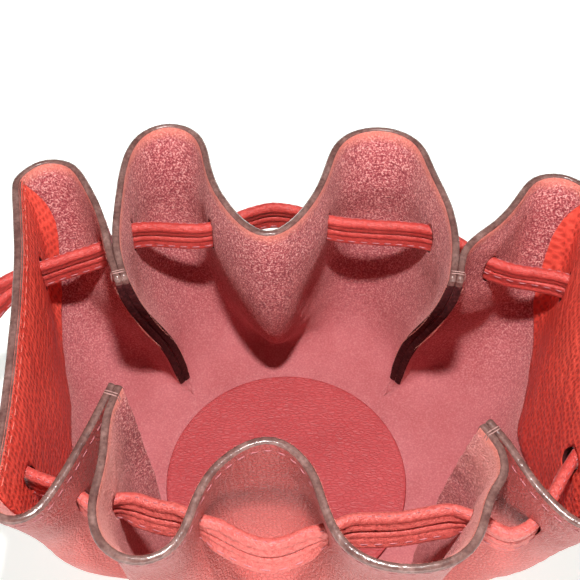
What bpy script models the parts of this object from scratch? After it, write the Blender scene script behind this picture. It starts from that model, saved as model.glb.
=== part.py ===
import math
import bpy
import numpy as np

# ------------------------------------------------------------ driving dimensions, mm
T = 1.6                 # body leather
T_FLAP = 1.35           # one layer of a pressed seam allowance
GAP = 0.3               # clearance between pieces that lie on each other
DISC_R = 30.0           # base disc radius
DISC_T = 1.3            # base disc thickness
FACING_T = 0.9          # facing leather
FLOOR_R = 33.0          # radius where the flat floor ends
Z0 = T + GAP + DISC_T   # height of the base disc's top face
H_RIM, H_CORD, H_MID, H_LOW, H_TOE = 63.6, 48.5, 30.0, 13.0, 2.4   # outlines above the disc's top face
STRAP_W = 4.0           # height of one drawstring, standing on its edge
STRAP_T = 2.4           # thickness of one drawstring
STRAP_PITCH = 4.3       # height between the two drawstrings' middles
SLIT_CLEAR = 0.45       # clearance beside a drawstring in its slit
SLIT_HALF = 5.0         # half height of a slit
SLEEVE_LEN = 9.0        # joining sleeve along the drawstring
SLEEVE_T = 1.0          # its wall
CEN = np.array([2.0, 1.5])

# The eight cusps, clockwise seen from above, starting at the back fold.
# Each has its place in the outlines: rim, cord line, mid, low, toe.
CUSPS = [
    ("fold", [(-4.0, 27.3), (-3.8, 25.8), (-3.0, 25.2), (-2.0, 33.0), (-1.0, 40.0)]),
    ("seam", [(36.8, 20.4), (35.9, 22.2), (34.3, 26.0), (32.0, 30.0), (30.5, 29.0)]),
    ("fold", [(62.0, 3.0), (59.8, 3.0), (57.5, 2.0), (54.0, 1.5), (47.0, 1.0)]),
    ("seam", [(40.0, -22.4), (37.8, -22.4), (35.0, -23.4), (32.5, -26.0), (30.5, -26.5)]),
    ("fold", [(-3.4, -22.6), (-3.2, -24.2), (-2.5, -25.5), (-2.0, -32.0), (-1.0, -38.0)]),
    ("seam", [(-33.9, -14.0), (-32.8, -15.6), (-31.0, -18.6), (-29.8, -22.6), (-28.2, -24.0)]),
    ("fold", [(-54.6, -1.0), (-53.2, -1.0), (-52.2, -1.0), (-50.0, -1.0), (-44.5, 0.0)]),
    ("seam", [(-36.3, 20.6), (-35.2, 22.4), (-33.2, 26.0), (-30.6, 30.0), (-28.6, 29.0)]),
]
# Seam allowances: direction of each flap in plan (degrees) and its width, at the same outlines.
FLAPS = {
    1: ((-99, -105, -126, -135, -137), (6.3, 5.2, 4.2, 3.4, 1.2)),
    3: ((122, 128, 138, 140, 140), (3.9, 3.7, 3.5, 3.2, 1.2)),
    5: ((72, 62, 52, 48, 45), (3.4, 3.4, 3.4, 3.2, 1.2)),
    7: ((-73, -66, -50, -45, -43), (6.3, 5.2, 4.2, 3.4, 1.2)),
}
# The eight lobes between the cusps at the rim: peak, half width, head depth, axis (degrees),
# bow of the wall at the start and the end side, and radii of the mid, low and toe outlines.
LOBES = [
    ((21.8, 59.1), 12.0, 13.2, 88.0, 2.6, -1.2, (55.0, 50.0, 44.5)),
    ((63.3, 43.8), 8.4, 8.6, 70.0, 0.4, 0.6, (64.0, 59.0, 47.5)),
    ((58.5, -39.0), 7.4, 8.0, -62.0, 0.8, 0.0, (60.0, 57.0, 49.0)),
    ((21.8, -47.3), 15.1, 12.8, -90.0, -1.7, 2.4, (47.5, 45.5, 41.5)),
    ((-26.0, -45.8), 9.0, 10.2, -93.0, 2.8, 0.5, (51.0, 48.0, 42.5)),
    ((-50.0, -38.2), 5.9, 7.0, -108.0, 0.0, 0.4, (59.5, 56.5, 49.5)),
    ((-55.8, 48.3), 7.6, 8.0, 110.0, 0.8, -0.6, (66.0, 57.0, 47.0)),
    ((-27.4, 60.3), 9.5, 12.6, 90.0, -0.5, 2.8, (56.5, 51.0, 44.5)),
]
LEAN = 4.0              # how far a lobe's head leans out between the cord line and the rim
# The two slits of each lobe, in the outline's own parameter (0 at one cusp, 8 at the next).
SLITS = [(1.90, 6.40), (1.15, 6.60), (1.38, 5.80), (2.15, 5.60), (2.00, 6.40), (1.60, 6.40), (1.45, 6.75), (1.45, 6.45)]
# Points on each drawstring's way outside the wall, from the lobe before each cusp to the one after it.
OUTSIDE = {
    0: [(-3.6, 45.6)],
    1: [(38.6, 36.2)],
    2: [(66.6, 12.0), (67.4, 2.0), (65.6, -9.0)],
    3: [(42.2, -35.6)],
    4: [(-3.0, -38.8)],
    5: [(-36.2, -30.2)],
    6: [(-60.8, -13.0), (-63.4, -2.0), (-62.6, 11.0)],
    7: [(-38.0, 37.6)],
}
PULL_RIGHT = [(70.8, 14.5), (76.4, 4.0), (70.8, -11.0)]      # slack bow of the lower drawstring
PULL_LEFT = [(-66.4, -13.0), (-73.0, -1.0), (-69.6, 14.0), (-63.4, 23.6)]   # slack bow of the upper drawstring
FACINGS = {"side_facing_left": (3, 4.9, 11.5), "side_facing_right": (1, 5.1, 10.9)}
SEAMS = [7, 1, 3, 5]    # panel p runs clockwise from seam SEAMS[p] over a fold to the next seam
BLEND = (1.0, 1.0, 0.8, 0.5, 0.2)   # how straight the wall runs into its seam, by outline
V_KNOT = np.array([0.0, 0.15, 0.28, 0.50, 0.775, 1.0])   # floor edge, toe, low, mid, cord line, rim
Z_KNOT = np.array([T / 2] + [Z0 + h for h in (H_TOE, H_LOW, H_MID, H_CORD, H_RIM)])
ROWS = [0.0, 0.04, 0.09, 0.15, 0.21, 0.28, 0.38, 0.50, 0.60]
COL_STEP = 0.5


def unit(deg):
    a = math.radians(deg)
    return np.array([math.cos(a), math.sin(a)])


def upper_lobe(i, level):
    """Seven points of lobe i at the rim (level 0) or the cord line (level 1)."""
    P, a, h, ax, bow0, bow1, _ = LOBES[i]
    d = unit(ax)
    n = np.array([d[1], -d[0]])
    P = np.array(P, float)
    if level == 1:
        P = P - LEAN * d
        a, h = a - 0.5, h - 0.6
    A = np.array(CUSPS[i][1][level])
    B = np.array(CUSPS[(i + 1) % 8][1][level])
    C = P - h * d
    h1, h2 = C - a * n, C + a * n
    q = math.sqrt(0.5)

    def wall(S, H, bow):
        v = H - S
        return S + 0.54 * v + bow * np.array([-v[1], v[0]]) / np.linalg.norm(v)
    return [wall(A, h1, -bow0), h1, C + h * q * d - a * q * n, P, C + h * q * d + a * q * n, h2,
            wall(B, h2, bow1)]


def lower_lobe(i, level):
    """Seven points of lobe i on the mid, low or toe outline: round, pulled in at the cusps."""
    A = np.array(CUSPS[i][1][level])
    B = np.array(CUSPS[(i + 1) % 8][1][level])
    up = upper_lobe(i, 1)
    top = LOBES[i][6][level - 2]

    def polar(q):
        q = np.asarray(q) - CEN
        return math.atan2(q[1], q[0]), math.hypot(q[0], q[1])
    (aA, rA), (aB, rB), (aP, _) = polar(A), polar(B), polar(up[3])
    if aB > aA:
        aB -= 2 * math.pi
    mid = (aA + aB) / 2
    aP = mid + (aP - mid + math.pi) % (2 * math.pi) - math.pi
    am = 0.55 * aP + 0.45 * mid
    am = min(max(am, aB + 0.22 * (aA - aB)), aA - 0.22 * (aA - aB))
    out = []
    for j in range(1, 8):
        t = j / 4.0 if j <= 4 else (8 - j) / 4.0
        a0, r0, kind = (aA, rA, CUSPS[i][0]) if j <= 4 else (aB, rB, CUSPS[(i + 1) % 8][0])
        g = math.sin(math.pi / 2 * t) ** (0.62 if kind == "seam" else 1.5)
        ang = a0 + (am - a0) * t
        r = r0 + (top - r0) * g
        q = CEN + r * np.array([math.cos(ang), math.sin(ang)])
        if level == 2:
            q = 0.45 * q + 0.55 * (CEN + (up[j - 1] - CEN) * 0.985)
        elif level == 3:
            q = 0.85 * q + 0.15 * (CEN + (up[j - 1] - CEN) * 0.93)
        out.append(q)
    return out


def slopes(P, X, m0, m1):
    """Slopes at the points of the smooth cubic through P at parameters X."""
    P = np.asarray(P, float)
    n = len(P)
    h = np.diff(X)
    A = np.zeros((n, n))
    R = np.zeros_like(P)
    for k in range(1, n - 1):
        a, b = h[k - 1], h[k]
        A[k, k - 1], A[k, k], A[k, k + 1] = b, 2 * (a + b), a
        R[k] = 3 * (b / a * (P[k] - P[k - 1]) + a / b * (P[k + 1] - P[k]))
    A[0, 0] = A[-1, -1] = 1
    R[0], R[-1] = m0, m1
    return np.linalg.solve(A, R.reshape(n, -1)).reshape(R.shape)


def hermite(P, M, X, t):
    P = np.asarray(P, float)
    t = np.asarray(t, float)
    k = np.clip(np.searchsorted(X, t, side="right") - 1, 0, len(X) - 2)
    h = X[k + 1] - X[k]
    u = (t - X[k]) / h
    shape = (len(t),) + (1,) * (P.ndim - 1)
    u, h = u.reshape(shape), h.reshape(shape)
    return ((2 * u ** 3 - 3 * u ** 2 + 1) * P[k] + (u ** 3 - 2 * u ** 2 + u) * h * M[k]
            + (-2 * u ** 3 + 3 * u ** 2) * P[k + 1] + (u ** 3 - u ** 2) * h * M[k + 1])


def outline(p, level, t):
    """Middle surface of panel p at one outline, parameter 0 to 16."""
    i0 = SEAMS[p]
    i1, i2 = (i0 + 1) % 8, (i0 + 2) % 8

    def end(i, side):
        e = unit(FLAPS[i][0][level])
        return np.array(CUSPS[i][1][level]) + side * np.array([e[1], -e[0]]) * T / 2, e
    s, e0 = end(i0, -1)
    f, e1 = end(i2, 1)
    lobe = upper_lobe if level < 2 else lower_lobe
    P = np.array([s] + lobe(i0, level) + [np.array(CUSPS[i1][1][level])] + lobe(i1, level) + [f])
    w = BLEND[level]
    m0 = -w * e0 * np.linalg.norm(P[1] - P[0]) + (1 - w) * (P[1] - P[0])
    m1 = w * e1 * np.linalg.norm(P[-1] - P[-2]) + (1 - w) * (P[-1] - P[-2])
    X = np.arange(17.0)
    return hermite(P, slopes(P, X, m0, m1), X, t)


def surface(p, t, v):
    """Middle surface of panel p: rows v (0 floor edge, 1 rim), columns t."""
    t = np.asarray(t, float)
    K = np.zeros((6, len(t), 3))
    for k, level in enumerate((4, 3, 2, 1, 0)):
        K[k + 1, :, :2] = outline(p, level, t)
    toe = K[1, :, :2]
    K[0, :, :2] = toe * (FLOOR_R / np.linalg.norm(toe, axis=1, keepdims=True))
    K[:, :, 2] = Z_KNOT[:, None]
    d0 = (K[1] - K[0]) / V_KNOT[1]
    d0[:, 2] = 0
    d1 = (K[5] - K[4]) / (V_KNOT[5] - V_KNOT[4])
    return hermite(K, slopes(K, V_KNOT, d0, d1), V_KNOT, v)


def with_normals(p, t, v):
    """The middle surface and its unit normals, which point into the pouch."""
    t, v = np.asarray(t, float), np.asarray(v, float)
    e = 1e-3
    ta, tb = np.clip(t - e, 0, 16), np.clip(t + e, 0, 16)
    va, vb = np.clip(v - e, 0, 1), np.clip(v + e, 0, 1)
    dt = (surface(p, tb, v) - surface(p, ta, v)) / (tb - ta)[None, :, None]
    dv = (surface(p, t, vb) - surface(p, t, va)) / (vb - va)[:, None, None]
    n = np.cross(dt, dv)
    n /= np.linalg.norm(n, axis=2, keepdims=True)
    return surface(p, t, v), n, dt


V_TABLE = np.linspace(0.0, 1.0, 1001)
Z_TABLE = surface(0, [4.0], V_TABLE)[:, 0, 2]


def height_to_v(z):
    """Row parameter of the middle surface at height z."""
    return float(np.interp(z, Z_TABLE, V_TABLE))


def where(i):
    """Panel of lobe i and the panel parameter where the lobe starts."""
    return (SEAMS.index(i), 0.0) if i in SEAMS else (SEAMS.index((i - 1) % 8), 8.0)


ZC = Z0 + H_CORD
V_LO, V_HI = height_to_v(ZC - SLIT_HALF), height_to_v(ZC + SLIT_HALF)
V_MID = height_to_v(ZC)


def slit_point(i, k):
    p, off = where(i)
    return surface(p, [off + SLITS[i][k]], np.array([V_MID]))[0, 0, :2]


def route(replace):
    """Closed smooth route of a drawstring in plan, a point about every millimetre and a half."""
    pts = []
    for i in range(8):
        a, b = slit_point(i, 0), slit_point(i, 1)
        pts += [a, (a + b) / 2, b]
        c = (i + 1) % 8
        way = replace.get(c, OUTSIDE[c])
        pts += [np.array(q, float) for q in way]
    P = np.array(pts)
    n = len(P)
    L = np.linalg.norm(np.roll(P, -1, axis=0) - P, axis=1) ** 0.7
    W = 3
    idx = np.arange(-W, n + W + 1) % n
    X = np.concatenate([[0], np.cumsum([L[k] for k in idx[:-1]])])
    Q = P[idx]
    M = slopes(Q, X, (Q[1] - Q[0]) / (X[1] - X[0]), (Q[-1] - Q[-2]) / (X[-1] - X[-2]))
    fine = hermite(Q, M, X, np.linspace(X[W], X[W + n], 4001)[:-1])
    seg = np.linalg.norm(np.roll(fine, -1, axis=0) - fine, axis=1)
    s = np.concatenate([[0], np.cumsum(seg)])
    count = int(round(s[-1] / 1.6))
    want = np.arange(count) * s[-1] / count
    loop = np.vstack([fine, fine[:1]])
    return np.c_[np.interp(want, s, loop[:, 0]), np.interp(want, s, loop[:, 1])], s[-1]


def crossing(i, k, routes, depth, half_t):
    """Panel, middle and half width (in the panel parameter) of a slit at a depth from the middle surface."""
    p, off = where(i)
    t0 = off + SLITS[i][k]
    tt = np.linspace(max(0.0, t0 - 1.2), min(16.0, t0 + 1.2), 161)
    found = []
    for R, z in zip(routes, (ZC + STRAP_PITCH / 2, ZC - STRAP_PITCH / 2)):
        _, side = frames(R)
        vs = np.array([height_to_v(z + q * STRAP_W / 2) for q in (-1, 0, 1)])
        S, n, _ = with_normals(p, tt, vs)
        for d in (depth - half_t, depth, depth + half_t):
            Q = (S + n * d)[:, :, :2].reshape(-1, 2)
            gap = Q[:, None, :] - R[None, :, :]
            j = np.linalg.norm(gap, axis=2).argmin(axis=1)
            off_line = np.abs(np.einsum("ij,ij->i", gap[np.arange(len(Q)), j], side[j]))
            t_all = np.tile(tt, len(vs))
            found += list(t_all[off_line <= STRAP_T / 2 + SLIT_CLEAR])
    return p, (min(found) + max(found)) / 2, (max(found) - min(found)) / 2


def columns(t_a, t_b, step, gaps):
    """Column parameters from t_a to t_b with both edges of each slit among them."""
    n = int(round((t_b - t_a) / step))
    base = [t_a + (t_b - t_a) * k / n for k in range(n + 1)]
    edges = [e for c, w in gaps for e in (c - w, c + w)]
    keep = [b for b in base if all(abs(b - e) > 0.3 * step for e in edges)
            and not any(c - w < b < c + w for c, w in gaps)]
    for b in (t_a, t_b):
        if b not in keep:
            keep.append(b)
    cols = sorted(set(keep + edges))
    return cols, [cols.index(c - w) for c, w in gaps]


def grid_faces(faces, O, I, holes):
    """Quads of the outer grid O and the inner grid I, with walls round each hole."""
    rows, cols = len(O), len(O[0])
    for r in range(rows - 1):
        for c in range(cols - 1):
            a, b, d, e = (r, c), (r, c + 1), (r + 1, c + 1), (r + 1, c)
            if (r, c) in holes:
                ring = [a, e, d, b]
                for k in range(4):
                    (r0, c0), (r1, c1) = ring[k], ring[(k + 1) % 4]
                    faces.append([O[r0][c0], O[r1][c1], I[r1][c1], I[r0][c0]])
                continue
            faces.append([O[q[0]][q[1]] for q in (a, e, d, b)])
            faces.append([I[q[0]][q[1]] for q in (a, b, d, e)])


def pouch_body(routes):
    rows = ROWS + [V_LO, V_HI, 0.93, 1.0]
    hole_row = len(ROWS)
    verts, faces = [], []

    def add(q):
        verts.append(tuple(float(x) for x in q))
        return len(verts) - 1
    panels = []
    for p in range(4):
        gaps = []
        for i in (SEAMS[p], (SEAMS[p] + 1) % 8):
            for k in (0, 1):
                _, m, w = crossing(i, k, routes, 0.0, T / 2)
                gaps.append((m, w))
        cols, starts = columns(0.0, 16.0, COL_STEP, gaps)
        S, n, _ = with_normals(p, cols, rows)
        out, inn = S - n * T / 2, S + n * T / 2
        out[0] = S[0] - np.array([0, 0, T / 2])
        inn[0] = S[0] + np.array([0, 0, T / 2])
        out[-1, :, 2] = inn[-1, :, 2] = Z0 + H_RIM
        panels.append((S, out, inn, starts))
    R = len(rows)
    index = []
    for p in range(4):
        S, out, inn, starts = panels[p]
        C = out.shape[1]
        O = [[None] * C for _ in range(R)]
        I = [[None] * C for _ in range(R)]
        for r in range(R):
            for c in range(C):
                I[r][c] = add(inn[r, c])
                if 0 < c < C - 1:
                    O[r][c] = add(out[r, c])
        index.append((O, I, starts))
    for p in range(4):
        q = (p + 1) % 4
        for r in range(R):
            J = add((panels[p][1][r, -1] + panels[q][1][r, 0]) / 2)
            index[p][0][r][-1] = J
            index[q][0][r][0] = J
    first = 3
    for p in range(4):
        O, I, starts = index[p]
        grid_faces(faces, O, I, {(hole_row, s) for s in starts})
        for c in range(len(O[0]) - 1):
            faces.append([O[-1][c], I[-1][c], I[-1][c + 1], O[-1][c + 1]])
        q = (p + 1) % 4
        Ob, Ib, _ = index[q]
        SA, SB = panels[p][0][:, -1], panels[q][0][:, 0]
        width = np.interp(rows, V_KNOT, [0.0] + list(FLAPS[SEAMS[q]][1])[::-1])
        tips = {}
        for r in range(first, R):
            m = (SA[r] - SB[r])[:2]
            m = m / np.linalg.norm(m)
            e = np.array([-m[1], m[0]])
            J = np.array(verts[O[r][-1]])
            base = J[:2] + e * width[r]
            z = verts[I[r][-1]][2]
            tips[r] = (add((*(base + m * T_FLAP), z)), add((*(base - m * T_FLAP), z)))
        for r in range(R - 1):
            a, b, a2, b2 = I[r][-1], Ib[r][0], I[r + 1][-1], Ib[r + 1][0]
            if r < first:
                faces.append([a, b, b2, a2])
                continue
            (ta, tb), (ta2, tb2) = tips[r], tips[r + 1]
            faces.append([a, ta, ta2, a2])
            faces.append([ta, tb, tb2, ta2])
            faces.append([tb, b, b2, tb2])
        faces.append([I[first][-1], Ib[first][0], tips[first][1], tips[first][0]])
        faces.append([O[-1][-1], I[-1][-1], tips[R - 1][0], tips[R - 1][1], Ib[-1][0]])
    bottom, floor = [], []
    for p in range(4):
        O, I, _ = index[p]
        bottom += O[0][:-1]
        floor += I[0]
    faces.append(bottom)
    faces.append(floor[::-1])
    return verts, faces


def facing(p, t_a, t_b, routes):
    """Side facing: a leather patch on the inner face of the wall, from below the rim towards the floor."""
    depth = T / 2 + GAP + FACING_T / 2
    gaps = []
    for i in (SEAMS[p], (SEAMS[p] + 1) % 8):
        for k in (0, 1):
            _, m, w = crossing(i, k, routes, depth, FACING_T / 2)
            if t_a + 0.25 < m - w and m + w < t_b - 0.25:
                gaps.append((m, w))
    cols, starts = columns(t_a, t_b, COL_STEP, gaps)
    tm, th = (t_a + t_b) / 2, (t_b - t_a) / 2
    low = []
    for c in cols:
        x = abs((c - tm) / th)
        low.append(0.70 - 0.36 * max(0.0, 1 - x ** 4) ** 0.5)
    top = [V_LO, V_HI, 0.92, 0.972]
    n_low = 7
    grid = [[lo + (V_LO - lo) * f / n_low for lo in low] for f in range(n_low)] + [[v] * len(cols) for v in top]
    verts = []
    O = [[None] * len(cols) for _ in grid]
    I = [[None] * len(cols) for _ in grid]
    for c, t in enumerate(cols):
        S, n, _ = with_normals(p, [t], np.array([row[c] for row in grid]))
        for r in range(len(grid)):
            for d, store in ((T / 2 + GAP, O), (T / 2 + GAP + FACING_T, I)):
                verts.append(tuple(float(x) for x in S[r, 0] + n[r, 0] * d))
                store[r][c] = len(verts) - 1
    faces = []
    grid_faces(faces, O, I, {(n_low, s) for s in starts})
    C, R = len(cols), len(grid)
    for c in range(C - 1):
        faces.append([O[-1][c], I[-1][c], I[-1][c + 1], O[-1][c + 1]])
        faces.append([I[0][c], O[0][c], O[0][c + 1], I[0][c + 1]])
    for r in range(R - 1):
        faces.append([O[r][0], I[r][0], I[r + 1][0], O[r + 1][0]])
        faces.append([I[r][-1], O[r][-1], O[r + 1][-1], I[r + 1][-1]])
    return verts, faces


def frames(R):
    D = np.roll(R, -1, axis=0) - np.roll(R, 1, axis=0)
    D /= np.linalg.norm(D, axis=1, keepdims=True)
    return D, np.c_[D[:, 1], -D[:, 0]]


def rounded(w, h, r):
    """Rounded rectangle, anticlockwise, three points a corner."""
    out = []
    for cx, cy, a0 in ((1, 1, 0), (-1, 1, 90), (-1, -1, 180), (1, -1, 270)):
        for a in (0, 45, 90):
            d = unit(a0 + a)
            out.append((cx * (w / 2 - r) + r * d[0], cy * (h / 2 - r) + r * d[1]))
    return out


def strap(R, z):
    """Closed drawstring of rounded section along the route R, its middle at height z."""
    _, side = frames(R)
    prof = rounded(STRAP_T, STRAP_W, 0.9)
    n, m = len(R), len(prof)
    verts = [(R[k, 0] + side[k, 0] * u, R[k, 1] + side[k, 1] * u, z + w) for k in range(n) for u, w in prof]
    faces = []
    for k in range(n):
        k2 = (k + 1) % n
        for j in range(m):
            j2 = (j + 1) % m
            faces.append([k * m + j, k2 * m + j, k2 * m + j2, k * m + j2])
    return verts, faces


def sleeve(R, z, near):
    """Short tube round the drawstring at the route point nearest to a given place."""
    _, side = frames(R)
    k0 = int(np.linalg.norm(R - np.array(near), axis=1).argmin())
    step = np.linalg.norm(R[(k0 + 1) % len(R)] - R[k0])
    half = int(round(SLEEVE_LEN / 2 / step))
    ks = [(k0 + j) % len(R) for j in range(-half, half + 1)]
    inner = rounded(STRAP_T + 2 * GAP, STRAP_W + 2 * GAP, 1.1)
    outer = rounded(STRAP_T + 2 * GAP + 2 * SLEEVE_T, STRAP_W + 2 * GAP + 2 * SLEEVE_T, 1.9)
    m = len(inner)
    verts, faces = [], []
    for k in ks:
        for prof in (outer, inner):
            verts += [(R[k, 0] + side[k, 0] * u, R[k, 1] + side[k, 1] * u, z + w) for u, w in prof]
    for a in range(len(ks) - 1):
        for j in range(m):
            j2 = (j + 1) % m
            A, B = a * 2 * m, (a + 1) * 2 * m
            faces.append([A + j, B + j, B + j2, A + j2])
            faces.append([A + m + j2, B + m + j2, B + m + j, A + m + j])
    e = (len(ks) - 1) * 2 * m
    for j in range(m):
        j2 = (j + 1) % m
        faces.append([j, j2, m + j2, m + j])
        faces.append([e + m + j, e + m + j2, e + j2, e + j])
    return verts, faces


def disc():
    n = 96
    bevel = 0.25
    rings = [(DISC_R - bevel, 0.0), (DISC_R, bevel), (DISC_R, DISC_T - bevel), (DISC_R - bevel, DISC_T)]
    verts = [(r * math.cos(2 * math.pi * k / n), r * math.sin(2 * math.pi * k / n), T + GAP + z)
             for r, z in rings for k in range(n)]
    faces = [[q * n + k, q * n + (k + 1) % n, (q + 1) * n + (k + 1) % n, (q + 1) * n + k]
             for q in range(3) for k in range(n)]
    faces.append([k for k in range(n)][::-1])
    faces.append([3 * n + k for k in range(n)])
    return verts, faces


def make(name, verts, faces, shift, colour, rough):
    V = (np.array(verts) - shift) * 0.001
    mesh = bpy.data.meshes.new(name)
    mesh.from_pydata([tuple(q) for q in V], [], faces)
    mesh.validate()
    mesh.update()
    for f in mesh.polygons:
        f.use_smooth = len(f.vertices) < 8
    ob = bpy.data.objects.new(name, mesh)
    bpy.context.scene.collection.objects.link(ob)
    mat = bpy.data.materials.new(name + "_leather")
    mat.use_nodes = True
    bsdf = next(x for x in mat.node_tree.nodes if x.type == "BSDF_PRINCIPLED")
    bsdf.inputs["Base Color"].default_value = (*colour, 1.0)
    bsdf.inputs["Roughness"].default_value = rough
    mesh.materials.append(mat)
    return ob


def build():
    for ob in list(bpy.data.objects):
        bpy.data.objects.remove(ob, do_unlink=True)
    upper, _ = route({6: PULL_LEFT})
    lower, _ = route({2: PULL_RIGHT, 6: [(-62.4, -13.0), (-67.6, -1.0), (-67.0, 13.4), (-62.8, 22.8)]})
    routes = (upper, lower)
    z_up, z_low = ZC + STRAP_PITCH / 2, ZC - STRAP_PITCH / 2
    pieces = [
        ("pouch_body", pouch_body(routes), (0.52, 0.16, 0.17), 0.85),
        ("base_disc", disc(), (0.55, 0.08, 0.08), 0.6),
    ]
    for name, (p, t_a, t_b) in FACINGS.items():
        pieces.append((name, facing(p, t_a, t_b, routes), (0.60, 0.06, 0.04), 0.5))
    pieces += [
        ("drawstring_upper", strap(upper, z_up), (0.62, 0.09, 0.07), 0.4),
        ("drawstring_lower", strap(lower, z_low), (0.58, 0.08, 0.06), 0.4),
        ("sleeve_left", sleeve(upper, z_up, (-73.0, -2.0)), (0.50, 0.07, 0.06), 0.45),
        ("sleeve_right", sleeve(lower, z_low, (76.4, 2.0)), (0.50, 0.07, 0.06), 0.45),
    ]
    every = np.vstack([np.array(v) for _, (v, _), _, _ in pieces])
    lo, hi = every.min(axis=0), every.max(axis=0)
    shift = np.array([(lo[0] + hi[0]) / 2, (lo[1] + hi[1]) / 2, lo[2]])
    for name, (verts, faces), colour, rough in pieces:
        make(name, verts, faces, shift, colour, rough)


build()
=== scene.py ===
import math
import bpy
import bmesh
import numpy as np
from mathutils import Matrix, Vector


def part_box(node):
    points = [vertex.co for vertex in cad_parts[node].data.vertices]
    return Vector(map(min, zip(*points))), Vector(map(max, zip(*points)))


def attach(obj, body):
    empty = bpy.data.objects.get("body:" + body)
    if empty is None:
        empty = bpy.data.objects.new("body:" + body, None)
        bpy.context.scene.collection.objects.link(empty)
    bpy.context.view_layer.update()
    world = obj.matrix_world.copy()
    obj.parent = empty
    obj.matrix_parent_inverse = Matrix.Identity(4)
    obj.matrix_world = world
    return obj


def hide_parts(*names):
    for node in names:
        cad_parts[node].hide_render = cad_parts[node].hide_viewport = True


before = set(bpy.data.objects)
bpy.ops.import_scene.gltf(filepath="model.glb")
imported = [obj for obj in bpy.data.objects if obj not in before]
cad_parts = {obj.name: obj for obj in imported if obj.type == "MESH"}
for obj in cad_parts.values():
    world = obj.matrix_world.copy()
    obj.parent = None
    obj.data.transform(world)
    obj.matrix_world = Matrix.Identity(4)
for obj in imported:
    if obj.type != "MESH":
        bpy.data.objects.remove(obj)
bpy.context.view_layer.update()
rng = np.random.default_rng(7)

# ------------------------------------------------------------ the pouch's dimensions, mm
T = 1.6
GAP = 0.3
DISC_R = 30.0
DISC_T = 1.3
FACING_T = 0.9
FLOOR_R = 33.0
Z0 = T + GAP + DISC_T
H_RIM, H_CORD, H_MID, H_LOW, H_TOE = 63.6, 48.5, 30.0, 13.0, 2.4
STRAP_W = 4.0
STRAP_T = 2.4
STRAP_PITCH = 4.3
CEN = np.array([2.0, 1.5])
CAP = 0.55               # height of the rounded, painted rim edge
FLAP_V = np.array([0.0, 0.09, 0.135, 0.165, 0.28, 0.50, 0.775, 1.0])

CUSPS = [
    ("fold", [(-4.0, 27.3), (-3.8, 25.8), (-3.0, 25.2), (-2.0, 33.0), (-1.0, 40.0)]),
    ("seam", [(36.8, 20.4), (35.9, 22.2), (34.3, 26.0), (32.0, 30.0), (30.5, 29.0)]),
    ("fold", [(62.0, 3.0), (59.8, 3.0), (57.5, 2.0), (54.0, 1.5), (47.0, 1.0)]),
    ("seam", [(40.0, -22.4), (37.8, -22.4), (35.0, -23.4), (32.5, -26.0), (30.5, -26.5)]),
    ("fold", [(-3.4, -22.6), (-3.2, -24.2), (-2.5, -25.5), (-2.0, -32.0), (-1.0, -38.0)]),
    ("seam", [(-33.9, -14.0), (-32.8, -15.6), (-31.0, -18.6), (-29.8, -22.6), (-28.2, -24.0)]),
    ("fold", [(-54.6, -1.0), (-53.2, -1.0), (-52.2, -1.0), (-50.0, -1.0), (-44.5, 0.0)]),
    ("seam", [(-36.3, 20.6), (-35.2, 22.4), (-33.2, 26.0), (-30.6, 30.0), (-28.6, 29.0)]),
]
FLAPS = {
    1: ((-99, -105, -126, -135, -137), (6.3, 5.2, 4.2, 3.4, 1.2)),
    3: ((122, 128, 138, 140, 140), (3.9, 3.7, 3.5, 3.2, 1.2)),
    5: ((72, 62, 52, 48, 45), (3.4, 3.4, 3.4, 3.2, 1.2)),
    7: ((-73, -66, -50, -45, -43), (6.3, 5.2, 4.2, 3.4, 1.2)),
}
LOBES = [
    ((21.8, 59.1), 12.0, 13.2, 88.0, 2.6, -1.2, (55.0, 50.0, 44.5)),
    ((63.3, 43.8), 8.4, 8.6, 70.0, 0.4, 0.6, (64.0, 59.0, 47.5)),
    ((58.5, -39.0), 7.4, 8.0, -62.0, 0.8, 0.0, (60.0, 57.0, 49.0)),
    ((21.8, -47.3), 15.1, 12.8, -90.0, -1.7, 2.4, (47.5, 45.5, 41.5)),
    ((-26.0, -45.8), 9.0, 10.2, -93.0, 2.8, 0.5, (51.0, 48.0, 42.5)),
    ((-50.0, -38.2), 5.9, 7.0, -108.0, 0.0, 0.4, (59.5, 56.5, 49.5)),
    ((-55.8, 48.3), 7.6, 8.0, 110.0, 0.8, -0.6, (66.0, 57.0, 47.0)),
    ((-27.4, 60.3), 9.5, 12.6, 90.0, -0.5, 2.8, (56.5, 51.0, 44.5)),
]
LEAN = 4.0
SLITS = [(1.90, 6.40), (1.15, 6.60), (1.38, 5.80), (2.15, 5.60), (2.00, 6.40), (1.60, 6.40), (1.45, 6.75), (1.45, 6.45)]
OUTSIDE = {
    0: [(-3.6, 45.6)],
    1: [(38.6, 36.2)],
    2: [(66.6, 12.0), (67.4, 2.0), (65.6, -9.0)],
    3: [(42.2, -35.6)],
    4: [(-3.0, -38.8)],
    5: [(-36.2, -30.2)],
    6: [(-60.8, -13.0), (-63.4, -2.0), (-62.6, 11.0)],
    7: [(-38.0, 37.6)],
}
PULL_RIGHT = [(70.8, 14.5), (76.4, 4.0), (70.8, -11.0)]
PULL_LEFT = [(-66.4, -13.0), (-73.0, -1.0), (-69.6, 14.0), (-63.4, 23.6)]
LOWER_LEFT = [(-62.4, -13.0), (-67.6, -1.0), (-67.0, 13.4), (-62.8, 22.8)]
FACINGS = {"side_facing_left": (3, 4.9, 11.5), "side_facing_right": (1, 4.5, 10.9)}
SEAMS = [7, 1, 3, 5]
BLEND = (1.0, 1.0, 0.8, 0.5, 0.2)
V_KNOT = np.array([0.0, 0.15, 0.28, 0.50, 0.775, 1.0])
Z_KNOT = np.array([T / 2] + [Z0 + h for h in (H_TOE, H_LOW, H_MID, H_CORD, H_RIM - CAP)])

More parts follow.
